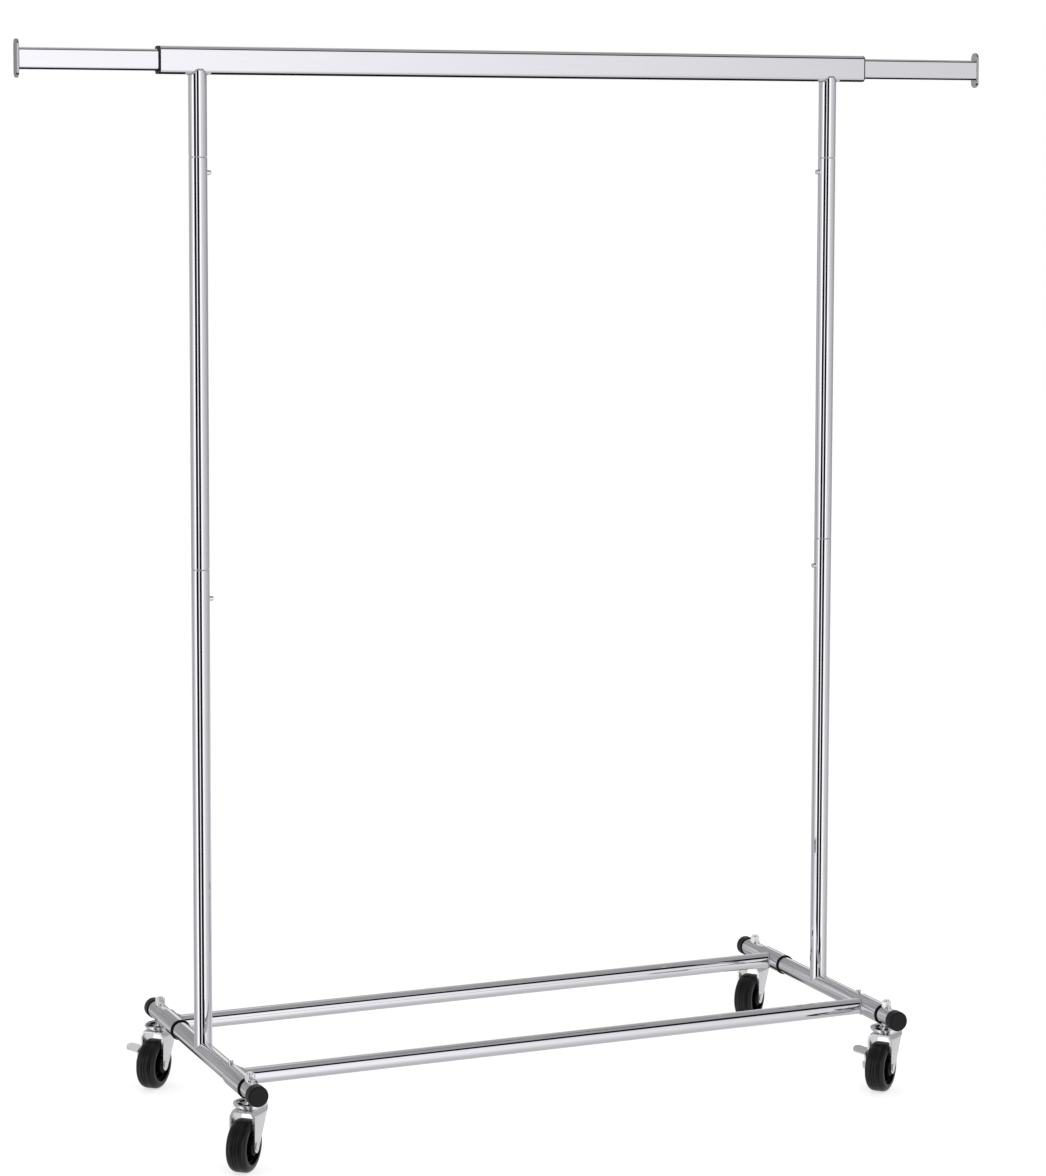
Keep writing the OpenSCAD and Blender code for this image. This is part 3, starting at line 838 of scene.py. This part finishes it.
class RACK_OT_extensions(bpy.types.Operator):
    """Finish the pull-out bars, their end plates and the sliders inside the sleeve"""

    bl_idname = "rack.extensions"
    bl_label = "Pull-out bars"

    def execute(self, context):
        m = materials(context)
        e = context.scene.rack_edges
        for side in SIDES:
            body = f"{side}_extension"
            for name, part, material, edge in (
                ("bar_tube", "bar", "chrome_rail", BAR_EDGE),
                ("stop_plate", "end_plate", "plate_steel", PLATE_EDGE),
                ("slide_block", "slider", "black_plastic", e.plastic_edge),
            ):
                softened(f"{side}_{name}", [f"{side}_{part}"], body, m[material], edge, e.steps)
        return {"FINISHED"}


class RACK_OT_buttons(bpy.types.Operator):
    """Finish the spring buttons and paint their clips"""

    bl_idname = "rack.buttons"
    bl_label = "Spring buttons"

    def execute(self, context):
        m = materials(context)
        for side in SIDES:
            for part in ("lower_button", "upper_button", "leg_button"):
                n = f"{side}_{part}"
                softened(n + "_pin", [n], n, m["chrome_rail"], PIN_EDGE, PIN_STEPS)
        set_material(frame["nodes"]["button_clips"], m["spring_steel"])
        return {"FINISHED"}


class RACK_OT_welds(bpy.types.Operator):
    """Lay the rippled weld beads under the sleeve and round the rails' ends"""

    bl_idname = "rack.welds"
    bl_label = "Welds"

    def execute(self, context):
        m = materials(context)
        d = context.scene.rack_detail
        tree = weld_group()
        sleeve_lo, sleeve_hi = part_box("hanging_sleeve")
        common = {
            "Ripples": d.weld_count,
            "Ripple Radius": d.weld_bump,
            "Seed": d.seed,
            "Material": m["weld_steel"],
        }
        places = []
        for side in SIDES:
            lo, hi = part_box(f"{side}_middle_post")
            mid = (lo + hi) / 2
            at = Vector((mid.x, mid.y, sleeve_lo.z))
            places.append(Matrix.Translation(at) @ Matrix.Rotation(math.pi, 4, "X"))
            radius = (hi.x - lo.x) / 2
        shape = {
            "Radius": radius + WELD_STANDOFF,
            "Flat": (sleeve_hi.y - sleeve_lo.y) / 2 - SLEEVE_CORNER,
            "Corner": SLEEVE_CORNER,
        }
        beads = grown("sleeve_weld_ripples", tree, {**common, **shape}, places, "frame")
        collar_lo, collar_hi = clusters("rail_collars")[0]
        collar_r = (collar_hi.z - collar_lo.z) / 2
        places = []
        for n in ("front_rail", "back_rail"):
            lo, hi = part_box(n)
            mid = (lo + hi) / 2
            radius = (hi.z - lo.z) / 2
            for s in SIDES.values():
                post_x = centre("left_middle_post").x * -s
                at = Vector((post_x - s * collar_r, mid.y, mid.z))
                turn = Matrix(((0, 0, -s, 0), (1, 0, 0, 0), (0, -s, 0, 0), (0, 0, 0, 1)))
                places.append(Matrix.Translation(at) @ turn)
        shape = {"Radius": radius + WELD_STANDOFF, "Flat": 0.0, "Corner": collar_r}
        rails = grown("rail_weld_ripples", tree, {**common, **shape}, places, "frame")
        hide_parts("weld_beads")
        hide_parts("weld_beads")
        return {"FINISHED"}


class RACK_OT_swivel_heads(bpy.types.Operator):
    """Finish the swivel heads, with near-black marks of painted shade for the slots pressed in their tops,
    the stems and the nuts
    """

    bl_idname = "rack.swivel_heads"
    bl_label = "Swivel heads"

    def execute(self, context):
        m = materials(context)
        e = context.scene.rack_edges
        d = context.scene.rack_detail
        softened("swivel_discs", ["caster_heads"], "frame", m["zinc"], HEAD_EDGE, e.steps)
        softened("stem_bolts", ["caster_stems"], "frame", m["zinc"], STEM_EDGE, e.steps)
        softened("leg_nuts", ["stem_nuts"], "frame", m["zinc"], NUT_EDGE, e.steps)
        if d.head_slots:
            places = []
            for lo, hi in clusters("caster_heads"):
                mid = (lo + hi) / 2
                places.append(Matrix.Translation((mid.x, mid.y, lo.z + SLOT_RISE)))
            values = {
                "Count": d.head_slots,
                "Radius": SLOT_RADIUS,
                "Size": SLOT_SIZE,
                # The near-black hub plastic paints the shade inside the pressed slots.
                "Material": m["hub_plastic"],
            }
            grown("head_slot_painted_shade", ring_group(), values, places, "frame", SLOT_EDGE)
        return {"FINISHED"}


class RACK_OT_forks(bpy.types.Operator):
    """Finish the casters' forks and axles"""

    bl_idname = "rack.forks"
    bl_label = "Forks"

    def execute(self, context):
        m = materials(context)
        e = context.scene.rack_edges
        for c in CORNERS:
            body = f"{c}_swivel"
            softened(f"{c}_fork_steel", [f"{c}_fork"], body, m["zinc"], e.sheet_edge, e.steps)
            softened(f"{c}_axle_bolt", [f"{c}_axle"], body, m["zinc"], AXLE_EDGE, e.steps)
        return {"FINISHED"}


class RACK_OT_wheels(bpy.types.Operator):
    """Turn the tyres, with their tread grooves, and finish the hubs with their ribs"""

    bl_idname = "rack.wheels"
    bl_label = "Wheels"

    def tyre_profile(self, outer, inner, half, grooves):
        """The tyre's closed outline as (radius, height) points, from its lower side to its upper one."""
        shoulder = TYRE_SHOULDER
        flat = half - shoulder
        side = outer - shoulder - SIDE_STEP
        angles = [math.pi / 2 * k / SHOULDER_STEPS for k in range(SHOULDER_STEPS + 1)]
        rounds = [(outer - shoulder + shoulder * math.sin(t), shoulder * math.cos(t)) for t in angles]
        points = [(inner, -half), (side, -half)]
        points += [(r, -flat - h) for r, h in rounds]
        for k in range(grooves):
            middle = flat * (2 * (k + 1) / (grooves + 1) - 1)
            points += [(outer - GROOVE_DEPTH * deep, middle + along * MM) for along, deep in GROOVE_OUTLINE]
        points += [(r, flat + h) for r, h in reversed(rounds)]
        points += [(side, half), (inner, half)]
        return points

    def execute(self, context):
        m = materials(context)
        e = context.scene.rack_edges
        d = context.scene.rack_detail
        ribs = ring_group()
        values = {"Count": RIB_COUNT, "Radius": RIB_RADIUS, "Size": RIB_SIZE, "Material": m["hub_plastic"]}
        for c in CORNERS:
            body = f"{c}_wheel"
            roll = joint(f"{c}_wheel_roll")
            middle, axis = Vector(roll["pos_m"]), Vector(roll["axis"])
            place = axes(middle, axis)
            lo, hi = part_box(f"{c}_tyre")
            outer = (hi.z - lo.z) / 2
            lo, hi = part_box(f"{c}_hub")
            inner = (hi.z - lo.z) / 2 + TYRE_CLEARANCE
            mesh = frame["nodes"][f"{c}_tyre"].data
            half = max(abs((v.co - middle).dot(axis)) for v in mesh.vertices)
            profile = self.tyre_profile(outer, inner, half, d.tread_grooves)
            tyre = lathe(f"{c}_tread", profile, place, body, m["tyre_rubber"], TYRE_SEGMENTS)
            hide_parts(f"{c}_tyre")
            softened(f"{c}_wheel_centre", [f"{c}_hub"], body, m["hub_plastic"], e.plastic_edge, e.steps)
            grown(f"{c}_hub_ribs", ribs, values, [place], body, RIB_EDGE)
        return {"FINISHED"}


class RACK_OT_brakes(bpy.types.Operator):
    """Finish the brake levers on the two braked casters"""

    bl_idname = "rack.brakes"
    bl_label = "Brake levers"

    def execute(self, context):
        m = materials(context)
        e = context.scene.rack_edges
        for c in BRAKED:
            softened(f"{c}_brake_tab", [f"{c}_lever"], f"{c}_brake", m["zinc"], e.sheet_edge, e.steps)
        return {"FINISHED"}


# The light dome's greys as (degrees, value) stops. Azimuth is measured from the X axis towards Y.
# ROUND_TONE is the grey by azimuth, HEIGHT_TONE the grey by elevation, and ROUND_SHARE how much of
# the first one shows at each elevation.
ROUND_TONE = (
    (0, 0.34), (30, 0.31), (75, 0.33), (110, 0.35), (126, 0.36), (137, 0.33), (152, 0.42), (165, 0.54),
    (177, 0.72), (186, 1.1), (202, 1.15), (203, 0.01), (231, 0.01), (232, 1.05), (241, 1.05), (242, 0.01),
    (268, 0.01), (269, 1.15), (278, 1.1), (288, 0.93), (294, 0.80), (300, 0.67), (312, 0.62), (328, 0.54),
    (345, 0.46),
)
ROUND_SHARE = ((-90, 0.0), (-54, 0.15), (-25, 0.9), (-18, 1.0), (33, 1.0), (35, 0.0))
HEIGHT_TONE = ((-90, 0.46), (-45, 0.55), (-9, 0.62), (34, 0.62), (39, 0.38), (63, 0.32), (90, 0.34))
# Patches laid over that, most of them bright: grey, share by elevation and share by azimuth
PATCHES = (
    (
        0.62,
        ((-60, 0.0), (-45, 1.0), (-11, 1.0), (-5, 0.0)),
        ((0, 0.0), (9, 0.0), (14, 1.0), (52, 1.0), (66, 0.35), (74, 0.0)),
    ),
    (0.9, ((7, 0.0), (10, 1.0), (19, 1.0), (22, 0.0)), ((48, 0.0), (54, 1.0), (76, 1.0), (81, 0.0))),
    (0.6, ((-17, 0.0), (-15, 1.0), (-8, 1.0), (-5, 0.0)), ((96, 0.0), (101, 1.0), (122, 1.0), (128, 0.0))),
    (0.62, ((-7, 0.0), (-3, 1.0), (18, 1.0), (24, 0.0)), ((115.5, 0.0), (119, 1.0), (126, 1.0), (132, 0.0))),
    (0.95, ((41, 0.0), (45, 1.0), (59, 1.0), (63, 0.0)), ((58, 0.0), (64, 1.0), (90, 1.0), (96, 0.0))),
    (0.03, ((-4, 0.0), (-2.5, 1.0), (-0.6, 1.0), (-0.1, 0.0)), ((52, 0.0), (55, 1.0), (78, 1.0), (81, 0.0))),
)
# A dark band high on the front of the dome: its greys by elevation and its share by azimuth
BAND_TONE = ((33, 1.0), (34.5, 0.015), (52, 0.015), (54, 1.0))
BAND_SHARE = ((250, 0.0), (262, 1.0), (335, 1.0), (345, 0.0))
DOME_TINT = (1.0, 0.992, 1.012, 1)
DOME_SEGMENTS = 64
DOME_RINGS = 32

FLOOR_HALF = 9
FLOOR_GREYS = ((0.3, 0.86), (0.7, 0.88))

# Dark strips under the hanging sleeve, seen only in its reflection as a painted dark line: their outer ends,
# the gap at each post and the drop below it
STRIP_ENDS = (-0.76, 0.80)
STRIP_GAP = 18 * MM
STRIP_DROP = 3 * MM
STRIP_GREYS = ((0.3, 0.008), (0.7, 0.014))

KEY_PLACE = (-0.6, -3.4, 3.0)
KEY_AIM = (-0.1, 0, 0.4)
KEY_SIZE = (1.6, 1.0)

# The camera: metres, degrees (turned from the Y axis, tilted down, rolled), millimetres and shares
CAMERA_PLACE = (-1.7968, -4.2076, 1.3566)
CAMERA_TURN = -22.743
CAMERA_DOWN = 4.871
CAMERA_ROLL = 0.113
CAMERA_LENS = 98.221
CAMERA_SENSOR = 36
CAMERA_SHIFT = (0.0168, -0.14)
CAMERA_RANGE = (0.1, 200)


class RACK_OT_stage(bpy.types.Operator):
    """Set the pale floor, the light dome, the dark strips that paint a reflected dark line under the sleeve,
    the key light and the camera
    """

    bl_idname = "rack.stage"
    bl_label = "Stage"

    def place(self, name, mesh, material, camera=False, glossy=True, diffuse=True):
        """Adds a stage object that casts no shadow, and sets which rays see it."""
        o = bpy.data.objects.new(name, mesh)
        bpy.context.scene.collection.objects.link(o)
        set_material(o, material)
        o.visible_camera = camera
        o.visible_shadow = False
        o.visible_glossy = glossy
        o.visible_diffuse = diffuse

    def sheet(self, name, low, high, z):
        """A level rectangle between two (x, y) corners, facing up."""
        mesh = bpy.data.meshes.new(name)
        corners = [(low[0], low[1], z), (high[0], low[1], z), (high[0], high[1], z), (low[0], high[1], z)]
        mesh.from_pydata(corners, [], [(0, 1, 2, 3)])
        return mesh

    def glow(self, name):
        """A new material that only gives light and is left out of light sampling."""
        m, tree, emit, coords = blank(name, "ShaderNodeEmission")
        m.cycles.emission_sampling = "NONE"
        return m, tree, emit, coords

    def dome_material(self, strength):
        """Light whose grey depends on azimuth and elevation."""
        m, tree, emit, coords = self.glow("dome_light")
        unit = tree.nodes.new("ShaderNodeVectorMath")
        unit.operation = "NORMALIZE"
        split = tree.nodes.new("ShaderNodeSeparateXYZ")
        link(tree, coords, unit.inputs[0])
        link(tree, unit.outputs[0], split.inputs[0])
        turn = math_node(tree, "ARCTAN2", split.outputs["Y"], split.outputs["X"])
        turn = math_node(tree, "DIVIDE", turn, 2 * math.pi)
        turn = math_node(tree, "FRACT", math_node(tree, "ADD", turn, 1.0))
        up = math_node(tree, "MULTIPLY_ADD", math_node(tree, "ARCSINE", split.outputs["Z"]), 1 / math.pi, 0.5)

        def by_azimuth(stops):
            return ramp(tree, turn, [(az / 360, v) for az, v in stops])

        def by_elevation(stops):
            return ramp(tree, up, [(0.5 + el / 180, v) for el, v in stops])

        grey = blend(tree, by_elevation(ROUND_SHARE), by_elevation(HEIGHT_TONE), by_azimuth(ROUND_TONE))
        for tone, heights, sides in PATCHES:
            share = math_node(tree, "MULTIPLY", by_elevation(heights), by_azimuth(sides))
            grey = blend(tree, share, grey, (tone, tone, tone, 1))
        grey = blend(tree, by_azimuth(BAND_SHARE), grey, by_elevation(BAND_TONE), "MULTIPLY")
        link(tree, blend(tree, 1.0, grey, DOME_TINT, "MULTIPLY"), emit.inputs["Color"])
        emit.inputs["Strength"].default_value = strength
        return m

    def card_material(self):
        """Near-black card for a painted reflection, which shows from above and is clear from below."""
        m, tree, emit, coords = self.glow("painted_reflection_card")
        link(tree, ramp(tree, noise(tree, coords, 0.7), STRIP_GREYS), emit.inputs["Color"])
        side = tree.nodes.new("ShaderNodeNewGeometry")
        clear = tree.nodes.new("ShaderNodeBsdfTransparent")
        mix = tree.nodes.new("ShaderNodeMixShader")
        link(tree, side.outputs["Backfacing"], mix.inputs[0])
        link(tree, emit.outputs[0], mix.inputs[1])
        link(tree, clear.outputs[0], mix.inputs[2])
        link(tree, mix.outputs[0], surface_input(tree))
        return m

    def floor_material(self, lift):
        """Pale matt floor with some light of its own for the camera."""
        m, tree, shader, coords = blank("pale_floor", "ShaderNodeBsdfPrincipled")
        link(tree, ramp(tree, noise(tree, coords, 2.0), FLOOR_GREYS), shader.inputs["Base Color"])
        shader.inputs["Roughness"].default_value = 0.9
        shader.inputs["Specular IOR Level"].default_value = 0.1
        ray = tree.nodes.new("ShaderNodeLightPath")
        glow = tree.nodes.new("ShaderNodeEmission")
        link(tree, math_node(tree, "MULTIPLY", ray.outputs["Is Camera Ray"], lift), glow.inputs["Strength"])
        add = tree.nodes.new("ShaderNodeAddShader")
        link(tree, shader.outputs[0], add.inputs[0])
        link(tree, glow.outputs[0], add.inputs[1])
        link(tree, add.outputs[0], surface_input(tree))
        return m

    def floor(self, studio):
        """The pale floor, which isn't reflected."""
        mesh = self.sheet("floor", (-FLOOR_HALF, -FLOOR_HALF), (FLOOR_HALF, FLOOR_HALF), 0)
        self.place("floor", mesh, self.floor_material(studio.floor_lift), camera=True, glossy=False)

    def dome(self, studio):
        """The light dome, with its faces turned inwards."""
        bm = bmesh.new()
        bmesh.ops.create_uvsphere(
            bm, u_segments=DOME_SEGMENTS, v_segments=DOME_RINGS, radius=studio.dome_radius
        )
        bmesh.ops.reverse_faces(bm, faces=bm.faces)
        mesh = bpy.data.meshes.new("dome")
        bm.to_mesh(mesh)
        bm.free()
        self.place("dome", mesh, self.dome_material(studio.dome_light))

    def strips(self):
        """Three dark strips under the sleeve, seen only in its reflection as a painted dark line: one beyond
        each post and one between the posts.
        """
        card = self.card_material()
        lo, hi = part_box("hanging_sleeve")
        post = centre("right_middle_post").x
        first, last = STRIP_ENDS
        spans = (
            (first, -post - STRIP_GAP),
            (STRIP_GAP - post, post - STRIP_GAP),
            (post + STRIP_GAP, last),
        )
        for k, (x0, x1) in enumerate(spans):
            name = f"painted_reflection_strip_{k}"
            mesh = self.sheet(name, (x0, lo.y), (x1, hi.y), lo.z - STRIP_DROP)
            self.place(name, mesh, card, diffuse=False)

    def world(self, scene):
        """An even white background."""
        world = bpy.data.worlds.new("studio")
        scene.world = world
        world.use_nodes = True
        back = world.node_tree.nodes["Background"]
        back.inputs["Color"].default_value = (1, 1, 1, 1)
        back.inputs["Strength"].default_value = 1.0

    def key_light(self, scene, studio):
        """A soft light from high in front, which isn't reflected."""
        lamp = bpy.data.lights.new("key", "AREA")
        lamp.shape = "RECTANGLE"
        lamp.size, lamp.size_y = KEY_SIZE
        lamp.energy = studio.key_power
        key = bpy.data.objects.new("key", lamp)
        scene.collection.objects.link(key)
        key.location = KEY_PLACE
        key.rotation_euler = (Vector(KEY_AIM) - key.location).to_track_quat("-Z", "Y").to_euler()
        key.visible_glossy = False

    def camera(self, scene):
        """The camera, which looks slightly down from the front left."""
        data = bpy.data.cameras.new("camera")
        cam = bpy.data.objects.new("camera", data)
        scene.collection.objects.link(cam)
        cam.location = CAMERA_PLACE
        turn = Matrix.Rotation(math.radians(CAMERA_TURN), 4, "Z")
        tilt = Matrix.Rotation(math.radians(90 - CAMERA_DOWN), 4, "X")
        roll = Matrix.Rotation(math.radians(CAMERA_ROLL), 4, "Z")
        cam.rotation_euler = (turn @ tilt @ roll).to_euler()
        data.lens = CAMERA_LENS
        data.sensor_width = CAMERA_SENSOR
        data.shift_x, data.shift_y = CAMERA_SHIFT
        data.clip_start, data.clip_end = CAMERA_RANGE
        scene.camera = cam

    def execute(self, context):
        scene = context.scene
        studio = scene.rack_studio
        self.floor(studio)
        self.dome(studio)
        self.strips()
        self.world(scene)
        self.key_light(scene, studio)
        self.camera(scene)
        scene.view_settings.view_transform = "Standard"
        return {"FINISHED"}


class RACK_PT_panel(bpy.types.Panel):
    """The rack's settings, and a button for each operator"""

    bl_idname = "RACK_PT_panel"
    bl_label = "Rolling clothes rack"
    bl_space_type = "VIEW_3D"
    bl_region_type = "UI"
    bl_category = "Rack"

    def draw(self, context):
        """Lists the settings, then the operators."""
        layout = self.layout
        for label, settings in (
            ("Edges", context.scene.rack_edges),
            ("Detail", context.scene.rack_detail),
            ("Finish", context.scene.rack_finish),
            ("Studio", context.scene.rack_studio),
        ):
            box = layout.box()
            box.label(text=label)
            for p in settings.bl_rna.properties:
                if not p.is_readonly and p.identifier != "name":
                    box.prop(settings, p.identifier)
        for op in OPERATORS:
            layout.operator(op.bl_idname)


SETTINGS = (
    ("rack_edges", RackEdges),
    ("rack_detail", RackDetail),
    ("rack_finish", RackFinish),
    ("rack_studio", RackStudio),
)
OPERATORS = (
    RACK_OT_posts,
    RACK_OT_base,
    RACK_OT_hanging_rail,
    RACK_OT_extensions,
    RACK_OT_buttons,
    RACK_OT_welds,
    RACK_OT_swivel_heads,
    RACK_OT_forks,
    RACK_OT_wheels,
    RACK_OT_brakes,
    RACK_OT_stage,
)


def register():
    """Registers the settings, the operators and the panel."""
    for name, settings in SETTINGS:
        bpy.utils.register_class(settings)
        setattr(bpy.types.Scene, name, bpy.props.PointerProperty(type=settings))
    for c in (*OPERATORS, RACK_PT_panel):
        bpy.utils.register_class(c)


def unregister():
    """Takes back what register set up."""
    for c in reversed((*OPERATORS, RACK_PT_panel)):
        bpy.utils.unregister_class(c)
    for name, settings in reversed(SETTINGS):
        delattr(bpy.types.Scene, name)
        bpy.utils.unregister_class(settings)


def main():
    """Builds every piece and the stage."""
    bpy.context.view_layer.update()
    register()
    for op in OPERATORS:
        area, name = op.bl_idname.split(".")
        getattr(getattr(bpy.ops, area), name)()


if __name__ == "__main__":
    main()
